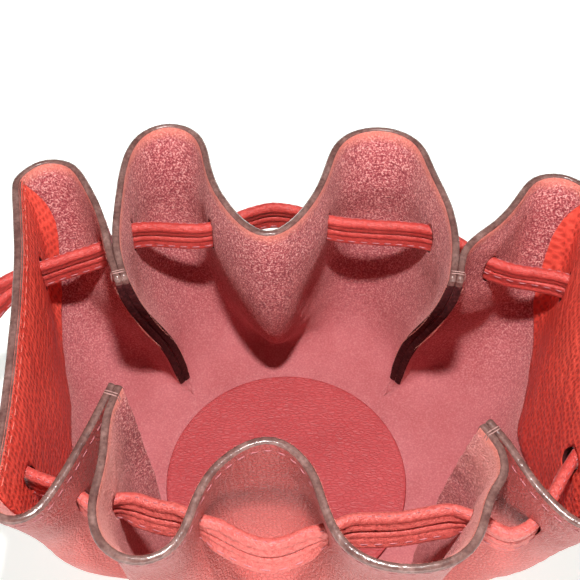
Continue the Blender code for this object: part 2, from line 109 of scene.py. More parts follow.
lo, hi = (np.array(q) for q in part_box("base_disc"))
MID = (lo + hi) / 2      # the base disc's centre is the drawing's origin in plan


def place(P):
    """Drawing coordinates in mm to the frame in metres."""
    P = np.asarray(P, float) * 0.001
    out = np.array(P)
    out[..., 0] += MID[0]
    out[..., 1] += MID[1]
    return out


# ------------------------------------------------------------ the leather's shape
def unit(deg):
    a = math.radians(deg)
    return np.array([math.cos(a), math.sin(a)])


def upper_lobe(i, level):
    P, a, h, ax, bow0, bow1, _ = LOBES[i]
    d = unit(ax)
    n = np.array([d[1], -d[0]])
    P = np.array(P, float)
    if level == 1:
        P = P - LEAN * d
        a, h = a - 0.5, h - 0.6
    A = np.array(CUSPS[i][1][level])
    B = np.array(CUSPS[(i + 1) % 8][1][level])
    C = P - h * d
    h1, h2 = C - a * n, C + a * n
    q = math.sqrt(0.5)

    def wall(S, H, bow):
        v = H - S
        return S + 0.54 * v + bow * np.array([-v[1], v[0]]) / np.linalg.norm(v)
    return [wall(A, h1, -bow0), h1, C + h * q * d - a * q * n, P, C + h * q * d + a * q * n, h2,
            wall(B, h2, bow1)]


def lower_lobe(i, level):
    A = np.array(CUSPS[i][1][level])
    B = np.array(CUSPS[(i + 1) % 8][1][level])
    up = upper_lobe(i, 1)
    top = LOBES[i][6][level - 2]

    def polar(q):
        q = np.asarray(q) - CEN
        return math.atan2(q[1], q[0]), math.hypot(q[0], q[1])
    (aA, rA), (aB, rB), (aP, _) = polar(A), polar(B), polar(up[3])
    if aB > aA:
        aB -= 2 * math.pi
    mid = (aA + aB) / 2
    aP = mid + (aP - mid + math.pi) % (2 * math.pi) - math.pi
    am = 0.55 * aP + 0.45 * mid
    am = min(max(am, aB + 0.22 * (aA - aB)), aA - 0.22 * (aA - aB))
    out = []
    for j in range(1, 8):
        t = j / 4.0 if j <= 4 else (8 - j) / 4.0
        a0, r0, kind = (aA, rA, CUSPS[i][0]) if j <= 4 else (aB, rB, CUSPS[(i + 1) % 8][0])
        g = math.sin(math.pi / 2 * t) ** (0.62 if kind == "seam" else 1.5)
        ang = a0 + (am - a0) * t
        r = r0 + (top - r0) * g
        q = CEN + r * np.array([math.cos(ang), math.sin(ang)])
        if level == 2:
            q = 0.45 * q + 0.55 * (CEN + (up[j - 1] - CEN) * 0.985)
        elif level == 3:
            q = 0.85 * q + 0.15 * (CEN + (up[j - 1] - CEN) * 0.93)
        out.append(q)
    return out


def slopes(P, X, m0, m1):
    P = np.asarray(P, float)
    n = len(P)
    h = np.diff(X)
    A = np.zeros((n, n))
    R = np.zeros_like(P)
    for k in range(1, n - 1):
        a, b = h[k - 1], h[k]
        A[k, k - 1], A[k, k], A[k, k + 1] = b, 2 * (a + b), a
        R[k] = 3 * (b / a * (P[k] - P[k - 1]) + a / b * (P[k + 1] - P[k]))
    A[0, 0] = A[-1, -1] = 1
    R[0], R[-1] = m0, m1
    return np.linalg.solve(A, R.reshape(n, -1)).reshape(R.shape)


def hermite(P, M, X, t):
    P = np.asarray(P, float)
    t = np.asarray(t, float)
    k = np.clip(np.searchsorted(X, t, side="right") - 1, 0, len(X) - 2)
    h = X[k + 1] - X[k]
    u = (t - X[k]) / h
    shape = (len(t),) + (1,) * (P.ndim - 1)
    u, h = u.reshape(shape), h.reshape(shape)
    return ((2 * u ** 3 - 3 * u ** 2 + 1) * P[k] + (u ** 3 - 2 * u ** 2 + u) * h * M[k]
            + (-2 * u ** 3 + 3 * u ** 2) * P[k + 1] + (u ** 3 - u ** 2) * h * M[k + 1])


def outline_spline(p, level):
    i0 = SEAMS[p]
    i1, i2 = (i0 + 1) % 8, (i0 + 2) % 8

    def end(i, side):
        e = unit(FLAPS[i][0][level])
        return np.array(CUSPS[i][1][level]) + side * np.array([e[1], -e[0]]) * T / 2, e
    s, e0 = end(i0, -1)
    f, e1 = end(i2, 1)
    lobe = upper_lobe if level < 2 else lower_lobe
    P = np.array([s] + lobe(i0, level) + [np.array(CUSPS[i1][1][level])] + lobe(i1, level) + [f])
    w = BLEND[level]
    m0 = -w * e0 * np.linalg.norm(P[1] - P[0]) + (1 - w) * (P[1] - P[0])
    m1 = w * e1 * np.linalg.norm(P[-1] - P[-2]) + (1 - w) * (P[-1] - P[-2])
    X = np.arange(17.0)
    return P, slopes(P, X, m0, m1), X


OUTLINES = {(p, level): outline_spline(p, level) for p in range(4) for level in range(5)}


def points(p, t, v):
    """Middle surface of panel p at paired parameters t, v (flat arrays)."""
    t, v = np.asarray(t, float).ravel(), np.asarray(v, float).ravel()
    N = len(t)
    K = np.zeros((6, N, 3))
    for k, level in enumerate((4, 3, 2, 1, 0)):
        K[k + 1, :, :2] = hermite(*OUTLINES[(p, level)], t)
    toe = K[1, :, :2]
    K[0, :, :2] = toe * (FLOOR_R / np.linalg.norm(toe, axis=1, keepdims=True))
    K[:, :, 2] = Z_KNOT[:, None]
    d0 = (K[1] - K[0]) / V_KNOT[1]
    d0[:, 2] = 0
    d1 = (K[5] - K[4]) / (V_KNOT[5] - V_KNOT[4])
    M = slopes(K, V_KNOT, d0, d1)
    k = np.clip(np.searchsorted(V_KNOT, v, side="right") - 1, 0, 4)
    i = np.arange(N)
    h = (V_KNOT[k + 1] - V_KNOT[k])[:, None]
    u = ((v - V_KNOT[k]))[:, None] / h
    return ((2 * u ** 3 - 3 * u ** 2 + 1) * K[k, i] + (u ** 3 - 2 * u ** 2 + u) * h * M[k, i]
            + (-2 * u ** 3 + 3 * u ** 2) * K[k + 1, i] + (u ** 3 - u ** 2) * h * M[k + 1, i])


def ripple(P):
    """Slight unevenness of worked leather, mm along the normal, from the place on the wall."""
    x, y, z = P[..., 0], P[..., 1], P[..., 2]
    s = (np.sin(x * 0.31 + 1.3 * np.sin(z * 0.13 + y * 0.07)) * np.sin(y * 0.27 + z * 0.19 + 0.7)
         + 0.6 * np.sin(x * 0.62 + z * 0.41 + 2.0) * np.sin(y * 0.55 - z * 0.33 + 1.1)
         + 0.35 * np.sin(x * 1.1 - y * 0.9 + z * 0.8))
    return 0.16 * s


def surf(p, t, v):
    """Middle surface with its inward unit normals, for any matching arrays t, v."""
    t, v = np.broadcast_arrays(np.asarray(t, float), np.asarray(v, float))
    shape = t.shape
    e = 2e-3
    ta, tb = np.clip(t - e, 0, 16), np.clip(t + e, 0, 16)
    va, vb = np.clip(v - e, 0, 1), np.clip(v + e, 0, 1)
    S = points(p, t, v)
    dt = (points(p, tb, v) - points(p, ta, v)) / (tb - ta).reshape(-1, 1)
    dv = (points(p, t, vb) - points(p, t, va)) / (vb - va).reshape(-1, 1)
    n = np.cross(dt, dv)
    n /= np.linalg.norm(n, axis=1, keepdims=True)
    fade = np.clip(v.ravel() / 0.2, 0, 1) * np.clip((1.02 - v.ravel()) / 0.12, 0.15, 1)
    S = S + n * (ripple(S) * fade)[:, None]
    return S.reshape(shape + (3,)), n.reshape(shape + (3,)), dt.reshape(shape + (3,))


V_TABLE = np.linspace(0.0, 1.0, 1001)
Z_TABLE = points(0, np.full(1001, 4.0), V_TABLE)[:, 2]


def height_to_v(z):
    return float(np.interp(z, Z_TABLE, V_TABLE))


def where(i):
    return (SEAMS.index(i), 0.0) if i in SEAMS else (SEAMS.index((i - 1) % 8), 8.0)


ZC = Z0 + H_CORD
V_MID = height_to_v(ZC)
Z_UP, Z_DOWN = ZC + STRAP_PITCH / 2, ZC - STRAP_PITCH / 2


def slit_point(i, k):
    p, off = where(i)
    return points(p, [off + SLITS[i][k]], [V_MID])[0, :2]


def route(replace, step=0.8):
    """Closed smooth route of a drawstring in plan; also the arc length of each cusp's outside run."""
    pts = []
    marks = []
    for i in range(8):
        a, b = slit_point(i, 0), slit_point(i, 1)
        marks.append(len(pts))
        pts += [a, (a + b) / 2, b]
        c = (i + 1) % 8
        pts += [np.array(q, float) for q in replace.get(c, OUTSIDE[c])]
    P = np.array(pts)
    n = len(P)
    L = np.linalg.norm(np.roll(P, -1, axis=0) - P, axis=1) ** 0.7
    W = 3
    idx = np.arange(-W, n + W + 1) % n
    X = np.concatenate([[0], np.cumsum([L[k] for k in idx[:-1]])])
    Q = P[idx]
    M = slopes(Q, X, (Q[1] - Q[0]) / (X[1] - X[0]), (Q[-1] - Q[-2]) / (X[-1] - X[-2]))
    par = np.linspace(X[W], X[W + n], 8001)[:-1]
    fine = hermite(Q, M, X, par)
    seg = np.linalg.norm(np.roll(fine, -1, axis=0) - fine, axis=1)
    s = np.concatenate([[0], np.cumsum(seg)])
    count = int(round(s[-1] / step))
    want = np.arange(count) * s[-1] / count
    loop = np.vstack([fine, fine[:1]])
    R = np.c_[np.interp(want, s, loop[:, 0]), np.interp(want, s, loop[:, 1])]
    par_s = np.interp([X[W + m] for m in range(n)], np.append(par, X[W + n]), s)
    slit_s = {}
    for i, m in enumerate(marks):
        slit_s[(i, 0)], slit_s[(i, 1)] = par_s[m], par_s[m + 2]
    return R, s[-1], slit_s


ROUTE_UP, LEN_UP, MARK_UP = route({6: PULL_LEFT})
ROUTE_DOWN, LEN_DOWN, MARK_DOWN = route({2: PULL_RIGHT, 6: LOWER_LEFT})


def frames(R):
    D = np.roll(R, -1, axis=0) - np.roll(R, 1, axis=0)
    D /= np.linalg.norm(D, axis=1, keepdims=True)
    return D, np.c_[D[:, 1], -D[:, 0]]


def crossing(i, k, depth, half_t, clear):
    """Middle and half width, in the panel parameter, of the cut that the drawstrings pass."""
    p, off = where(i)
    t0 = off + SLITS[i][k]
    tt = np.linspace(max(0.0, t0 - 1.2), min(16.0, t0 + 1.2), 161)
    found = []
    for R, z in ((ROUTE_UP, Z_UP), (ROUTE_DOWN, Z_DOWN)):
        _, side = frames(R)
        vs = [height_to_v(z + q * 1.2) for q in (-1, 0, 1)]
        S, n, _ = surf(p, np.tile(tt, (3, 1)), np.repeat(vs, 161).reshape(3, 161))
        for d in (depth - half_t, depth, depth + half_t):
            Q = (S + n * d)[:, :, :2].reshape(-1, 2)
            gap = Q[:, None, :] - R[None, :, :]
            j = np.linalg.norm(gap, axis=2).argmin(axis=1)
            off_line = np.abs(np.einsum("ij,ij->i", gap[np.arange(len(Q)), j], side[j]))
            found += list(np.tile(tt, 3)[off_line <= STRAP_T / 2 + clear])
    return (min(found) + max(found)) / 2, (max(found) - min(found)) / 2


# ------------------------------------------------------------ mesh helpers
class Mesh:
    def __init__(self):
        self.v, self.f, self.m = [], [], []

    def add(self, P):
        base = sum(len(a) for a in self.v)
        self.v.append(np.asarray(P, float).reshape(-1, 3))
        return base

    def quad(self, q, mat=0):
        self.f.append(tuple(int(x) for x in q))
        self.m.append(mat)

    def grid(self, base, rows, cols, mat=0, flip=False, skip=None, mats=None):
        for r in range(rows - 1):
            for c in range(cols - 1):
                if skip and (r, c) in skip:
                    continue
                a, b = base + r * cols + c, base + r * cols + c + 1
                d, e = b + cols, a + cols
                m = mats(r, c) if mats else mat
                self.quad((a, e, d, b) if flip else (a, b, d, e), m)

    def build(self, name, mats, smooth=True, merge=None):
        V = place(np.vstack(self.v))
        me = bpy.data.meshes.new(name)
        me.from_pydata(V.tolist(), [], self.f)
        for m in mats:
            me.materials.append(m)
        me.polygons.foreach_set("material_index", self.m)
        me.polygons.foreach_set("use_smooth", [smooth] * len(self.f))
        me.update()
        if merge:
            bm = bmesh.new()
            bm.from_mesh(me)
            bmesh.ops.remove_doubles(bm, verts=bm.verts, dist=merge)
            bmesh.ops.dissolve_degenerate(bm, edges=bm.edges, dist=1e-8)
            bmesh.ops.recalc_face_normals(bm, faces=bm.faces)
            bm.to_mesh(me)
            bm.free()
        ob = bpy.data.objects.new(name, me)
        bpy.context.scene.collection.objects.link(ob)
        return ob


def capsules(mesh, A, B, N, r, flat=0.8, sides=6, mat=0):
    """Short threads from A to B, lying on a surface whose normal is N."""
    for a, b, n in zip(np.asarray(A), np.asarray(B), np.asarray(N)):
        d = b - a
        L = np.linalg.norm(d)
        if L < 1e-6:
            continue
        d = d / L
        n = n - d * (n @ d)
        n /= np.linalg.norm(n)
        s = np.cross(d, n)
        rings = [(0.0, 0.25), (0.12, 0.75), (0.3, 1.0), (0.7, 1.0), (0.88, 0.75), (1.0, 0.25)]
        P = []
        for f, k in rings:
            lift = 0.35 * r * math.sin(math.pi * f)
            c = a + d * (L * f) + n * lift
            for j in range(sides):
                q = 2 * math.pi * j / sides
                P.append(c + (s * math.cos(q) + n * flat * math.sin(q)) * r * k)
        base = mesh.add(P)
        for k in range(len(rings) - 1):
            for j in range(sides):
                j2 = (j + 1) % sides
                mesh.quad((base + k * sides + j, base + k * sides + j2, base + (k + 1) * sides + j2, base + (k + 1) * sides + j), mat)
        mesh.f.append(tuple(base + j for j in range(sides))[::-1])
        mesh.m.append(mat)
        mesh.f.append(tuple(base + (len(rings) - 1) * sides + j for j in range(sides)))
        mesh.m.append(mat)


# ------------------------------------------------------------ materials
def lin(r, g, b):
    def f(c):
        c /= 255.0
        return c / 12.92 if c <= 0.04045 else ((c + 0.055) / 1.055) ** 2.4
    return (f(r), f(g), f(b), 1.0)


class Mat:
    def __init__(self, name, rough=0.6, spec=0.5):
        self.m = bpy.data.materials.new(name)
        self.m.use_nodes = True
        self.t = self.m.node_tree
        self.b = next(n for n in self.t.nodes if n.type == "BSDF_PRINCIPLED")
        self.b.inputs["Roughness"].default_value = rough
        self.b.inputs["Specular IOR Level"].default_value = spec
        self.coord = self.t.nodes.new("ShaderNodeTexCoord").outputs["Object"]

    def node(self, kind, **inputs):
        n = self.t.nodes.new(kind)
        for k, v in inputs.items():
            key = k.replace("_", " ")
            if hasattr(v, "is_linked") or isinstance(v, bpy.types.NodeSocket):
                self.t.links.new(v, n.inputs[key])
            else:
                n.inputs[key].default_value = v
        return n

    def link(self, a, b):
        self.t.links.new(a, b)

    def scaled(self, sx, sy, sz, rot=(0, 0, 0)):
        n = self.t.nodes.new("ShaderNodeMapping")
        n.inputs["Scale"].default_value = (sx, sy, sz)
        n.inputs["Rotation"].default_value = rot
        self.link(self.coord, n.inputs["Vector"])
        return n.outputs["Vector"]

    def noise(self, scale, detail=2.0, rough=0.5, vec=None, distort=0.0):
        n = self.t.nodes.new("ShaderNodeTexNoise")
        n.inputs["Scale"].default_value = scale
        n.inputs["Detail"].default_value = detail
        n.inputs["Roughness"].default_value = rough
        n.inputs["Distortion"].default_value = distort
        self.link(vec if vec is not None else self.coord, n.inputs["Vector"])
        return n.outputs["Fac"]

    def voronoi(self, scale, vec=None, feature="F1", out="Distance", randomness=1.0):
        n = self.t.nodes.new("ShaderNodeTexVoronoi")
        n.feature = feature
        n.inputs["Scale"].default_value = scale
        n.inputs["Randomness"].default_value = randomness
        self.link(vec if vec is not None else self.coord, n.inputs["Vector"])
        return n.outputs[out]

    def ramp(self, fac, stops, interp="LINEAR"):
        n = self.t.nodes.new("ShaderNodeValToRGB")
        n.color_ramp.interpolation = interp
        el = n.color_ramp.elements
        while len(el) > len(stops):
            el.remove(el[-1])
        while len(el) < len(stops):
            el.new(0.5)
        for e, (pos, col) in zip(el, stops):
            e.position = pos
            e.color = col if len(col) == 4 else (*col, 1.0)
        self.link(fac, n.inputs["Fac"])
        return n.outputs["Color"]

    def range(self, v, a, b, c=0.0, d=1.0, clamp=True):
        n = self.t.nodes.new("ShaderNodeMapRange")
        n.clamp = clamp
        for k, x in zip(("From Min", "From Max", "To Min", "To Max"), (a, b, c, d)):
            n.inputs[k].default_value = x
        self.link(v, n.inputs["Value"])
        return n.outputs["Result"]

    def mix(self, fac, a, b, mode="MIX"):
        n = self.t.nodes.new("ShaderNodeMix")
        n.data_type = "RGBA"
        n.blend_type = mode
        for idx, x in ((0, fac), (6, a), (7, b)):
            if isinstance(x, bpy.types.NodeSocket):
                self.link(x, n.inputs[idx])
            else:
                n.inputs[idx].default_value = x
        return n.outputs[2]

    def math(self, op, a, b=0.0):
        n = self.t.nodes.new("ShaderNodeMath")
        n.operation = op
        for idx, x in ((0, a), (1, b)):
            if isinstance(x, bpy.types.NodeSocket):
                self.link(x, n.inputs[idx])
            else:
                n.inputs[idx].default_value = x
        return n.outputs[0]

    def bump(self, height, strength, distance, before=None):
        n = self.t.nodes.new("ShaderNodeBump")
        n.inputs["Strength"].default_value = strength
        n.inputs["Distance"].default_value = distance
        self.link(height, n.inputs["Height"])
        if before is not None:
            self.link(before, n.inputs["Normal"])
        return n.outputs["Normal"]

    def colour(self, c):
        if isinstance(c, bpy.types.NodeSocket):
            self.link(c, self.b.inputs["Base Color"])
        else:
            self.b.inputs["Base Color"].default_value = c

    def normal(self, n):
        self.link(n, self.b.inputs["Normal"])

    def sheen(self, w, rough, tint):
        self.b.inputs["Sheen Weight"].default_value = w
        self.b.inputs["Sheen Roughness"].default_value = rough
        self.b.inputs["Sheen Tint"].default_value = tint


def suede():
    k = Mat("suede_inside", 0.95, 0.12)
    nap = k.noise(2300, 2.0, 0.6)
    clump = k.noise(800, 3.0, 0.6)
    soft = k.noise(60, 3.0, 0.55)
    patch = k.noise(95, 2.0, 0.5)
    zpos = k.t.nodes.new("ShaderNodeSeparateXYZ")
    k.link(k.coord, zpos.inputs[0])
    z = zpos.outputs["Z"]
    high = k.range(z, 0.006, 0.044, 0.16, 1.0)
    base = k.mix(k.range(soft, 0.35, 0.65), lin(182, 101, 104), lin(196, 116, 120))
    # the suede turns paler and more salmon towards the top of the wall
    paler_top = k.mix(k.range(z, 0.030, 0.062), base, lin(204, 112, 106))
    spec = k.ramp(nap, [(0.36, lin(126, 44, 56)), (0.46, lin(180, 88, 96)), (0.55, lin(214, 130, 130)), (0.65, lin(248, 198, 192))])
    col = k.mix(k.math("MULTIPLY", high, 0.80), paler_top, spec)
    plum = k.math("MULTIPLY", k.range(clump, 0.32, 0.5, 0.5, 0.0), k.math("MULTIPLY", high, k.range(patch, 0.35, 0.6, 0.35, 1.0)))
    col = k.mix(plum, col, lin(122, 40, 58))
    # painted shade: a dark plum band in the suede around the drawstrings' height, speckled by the nap
    painted_cord_shade = k.math("MULTIPLY", k.range(z, 0.046, 0.053), k.range(z, 0.066, 0.057))
    col = k.mix(k.math("MULTIPLY", painted_cord_shade, k.range(nap, 0.35, 0.6, 0.55, 0.10)), col, lin(120, 38, 52))
    # painted light on the front walls: the suede there is lightened overall, and a wide pale salmon band is painted
    # near the rim
    front = k.range(zpos.outputs["Y"], -0.022, -0.032)
    low = k.math("ADD", z, k.math("MULTIPLY", k.noise(900, 3.0, 0.7), 0.014))
    col = k.mix(k.math("MULTIPLY", front, 0.28), col, lin(236, 150, 150))
    pale = k.mix(nap, lin(206, 104, 100), lin(255, 196, 184))
    col = k.mix(k.math("MULTIPLY", front, k.range(low, 0.054, 0.068, 0.0, 0.85)), col, pale)
    rim = k.math("ADD", z, k.math("MULTIPLY", k.noise(700, 3.0), 0.0022))
    band = k.range(rim, 0.0645, 0.0668)
    col = k.mix(k.math("MULTIPLY", band, 0.7), col, lin(236, 142, 124))
    k.colour(col)
    h = k.math("ADD", nap, k.math("MULTIPLY", clump, 0.7))
    hh = k.math("MULTIPLY", h, k.range(z, 0.006, 0.040, 0.35, 1.0))
    k.normal(k.bump(hh, 0.8, 0.0005))
    k.sheen(0.35, 0.45, lin(255, 196, 190))
    return k.m


def outer_leather():
    k = Mat("grain_outside", 0.42, 0.45)
    big = k.noise(45, 3.0, 0.5)
    cells = k.voronoi(1150, None, "DISTANCE_TO_EDGE", "Distance", 0.8)
    fine = k.noise(2200, 2.0)
    crease = k.range(cells, 0.0, 0.30)
    sep = k.t.nodes.new("ShaderNodeSeparateXYZ")
    k.link(k.coord, sep.inputs[0])
    col = k.mix(k.range(big, 0.3, 0.7), lin(196, 90, 85), lin(212, 106, 100))
    # painted shade: the outside leather darkens towards the upper wall, where the folds shade it
    col = k.mix(k.range(sep.outputs["Z"], 0.030, 0.050, 0.0, 0.72), col, lin(148, 50, 48))
    col = k.mix(k.range(crease, 0.0, 1.0, 0.34, 0.0), col, lin(132, 40, 40))
    k.colour(col)
    k.normal(k.bump(k.math("ADD", crease, k.math("MULTIPLY", fine, 0.4)), 0.60, 0.00026))
    k.sheen(0.12, 0.4, lin(255, 220, 215))
    return k.m


def edge_paint():
    k = Mat("edge_paint", 0.24, 0.55)
    a = k.noise(240, 4.0, 0.6)
    b = k.noise(1300, 3.0, 0.6)
    col = k.ramp(a, [(0.3, lin(98, 64, 60)), (0.5, lin(124, 90, 84)), (0.7, lin(148, 114, 108))])
    col = k.mix(k.range(b, 0.35, 0.6, 0.5, 0.0), col, lin(62, 36, 36))
    k.colour(col)
    k.normal(k.bump(k.math("ADD", k.noise(700, 4.0, 0.6), k.math("MULTIPLY", b, 0.5)), 0.45, 0.00026))
    return k.m


def raw_edge():
    k = Mat("raw_edge", 0.95, 0.1)
    a = k.noise(1100, 4.0, 0.7)
    k.colour(k.ramp(a, [(0.3, lin(44, 14, 17)), (0.6, lin(82, 36, 38)), (0.75, lin(118, 64, 62))]))
    k.normal(k.bump(a, 0.8, 0.0004))
    return k.m


def disc_leather():
    k = Mat("disc_leather", 0.5, 0.35)
    vec = k.scaled(1.0, 2.3, 1.0, (0, 0, 0.06))
    cells = k.voronoi(640, vec, "DISTANCE_TO_EDGE")
    fine = k.noise(1100, 3.0, 0.6, vec)
    big = k.noise(60, 2.0)
    ridge = k.range(cells, 0.0, 0.22)
    col = k.mix(k.range(big, 0.3, 0.7), lin(184, 72, 75), lin(196, 82, 85))
    col = k.mix(k.range(ridge, 0.0, 1.0, 0.30, 0.0), col, lin(150, 44, 50))
    col = k.mix(k.range(fine, 0.35, 0.6, 0.25, 0.0), col, lin(160, 50, 56))
    k.colour(col)
    k.normal(k.bump(k.math("ADD", ridge, k.math("MULTIPLY", fine, 0.7)), 0.55, 0.00022))
    return k.m


def disc_edge():
    k = Mat("disc_edge", 0.8, 0.2)
    a = k.noise(900, 3.0, 0.6)
    k.colour(k.mix(a, lin(150, 52, 56), lin(110, 34, 38)))
    k.normal(k.bump(a, 0.5, 0.0002))
    return k.m


def facing_leather():
    k = Mat("facing_leather", 0.45, 0.4)
    sep = k.t.nodes.new("ShaderNodeSeparateXYZ")
    flat = k.t.nodes.new("ShaderNodeCombineXYZ")
    k.link(k.coord, sep.inputs[0])
    k.link(k.math("ADD", sep.outputs["Y"], k.math("MULTIPLY", sep.outputs["X"], 0.5)), flat.inputs[0])
    k.link(k.math("MULTIPLY", sep.outputs["Z"], 0.50), flat.inputs[1])
    cells = k.voronoi(930, flat.outputs[0], "F1", "Distance", 0.42)
    cells.node.voronoi_dimensions = "2D"
    fine = k.noise(2400, 2.0)
    big = k.noise(50, 3.0)
    z = sep.outputs["Z"]
    col = k.mix(k.range(big, 0.3, 0.7), lin(234, 80, 66), lin(247, 97, 80))
    # painted shade: the facing darkens towards its lower part
    col = k.mix(k.range(z, 0.020, 0.040, 0.50, 0.0), col, lin(160, 38, 38))
    col = k.mix(k.range(cells, 0.16, 0.42, 0.42, 0.0), col, lin(150, 30, 28))
    col = k.mix(k.range(fine, 0.35, 0.6, 0.15, 0.0), col, lin(160, 40, 34))
    k.colour(col)
    k.normal(k.bump(k.range(cells, 0.10, 0.50), 0.55, 0.00030))
    return k.m


def strap_leather():
    k = Mat("strap_leather", 0.42, 0.45)
    big = k.noise(120, 3.0)
    fine = k.noise(1300, 3.0, 0.6)
    grain = k.voronoi(2000, None, "DISTANCE_TO_EDGE")
    col = k.mix(k.range(big, 0.3, 0.7), lin(190, 62, 56), lin(208, 80, 73))
    sep = k.t.nodes.new("ShaderNodeSeparateXYZ")
    k.link(k.coord, sep.inputs[0])
    # painted light: the drawstrings are lighter where they run along the front
    col = k.mix(k.range(sep.outputs["Y"], -0.028, -0.038, 0.0, 0.55), col, lin(226, 124, 116))
    col = k.mix(k.range(fine, 0.35, 0.6, 0.45, 0.0), col, lin(146, 28, 27))
    k.colour(col)
    k.normal(k.bump(k.math("ADD", fine, k.math("MULTIPLY", grain, 0.8)), 0.85, 0.00026))
    k.sheen(0.15, 0.35, lin(255, 200, 195))
    return k.m


def thread(name, c1, c2):
    k = Mat(name, 0.6, 0.4)
    k.colour(k.mix(k.noise(1500, 2.0), c1, c2))
    k.normal(k.bump(k.noise(4000, 2.0), 0.4, 0.0001))
    return k.m


SUEDE, OUTER, PAINT, RAW = suede(), outer_leather(), edge_paint(), raw_edge()
DISC, DISC_EDGE, FACING, STRAP = disc_leather(), disc_edge(), facing_leather(), strap_leather()
LILAC = thread("thread_lilac", lin(168, 98, 106), lin(198, 130, 136))
PALE = thread("thread_pale", lin(150, 106, 100), lin(184, 142, 136))


# ------------------------------------------------------------ the body
ROWS = np.unique(np.concatenate([
    np.linspace(0, 0.28, 14), np.linspace(0.28, 0.66, 16), np.linspace(0.66, 0.90, 20), np.linspace(0.90, 1.0, 11)]))
V_LO, V_HI = height_to_v(ZC - 4.6), height_to_v(ZC + 3.8)
ROWS = np.array(sorted([v for v in ROWS if min(abs(v - V_LO), abs(v - V_HI)) > 0.004] + [V_LO, V_HI]))
R_LO, R_HI = int(np.argmin(abs(ROWS - V_LO))), int(np.argmin(abs(ROWS - V_HI)))


def slit_shape(v):
    """Half opening of a slit along its height, 0 to 1."""
    x = (v - (V_LO + V_HI) / 2) / ((V_HI - V_LO) / 2)
    return np.sqrt(np.clip(1 - np.abs(x) ** 2.4, 0, 1))


def even_columns(p, step):
    """Parameters at even arc lengths, averaged over the rim, the cord line and the middle."""
    tt = np.linspace(0, 16, 801)
    L = 0
    for v in (1.0, 0.775, 0.5):
        Q = points(p, tt, np.full(801, v))
        L = L + np.concatenate([[0], np.cumsum(np.linalg.norm(np.diff(Q, axis=0), axis=1))]) / 3
    n = int(round(L[-1] / step))
    return np.interp(np.linspace(0, L[-1], n + 1), L, tt)


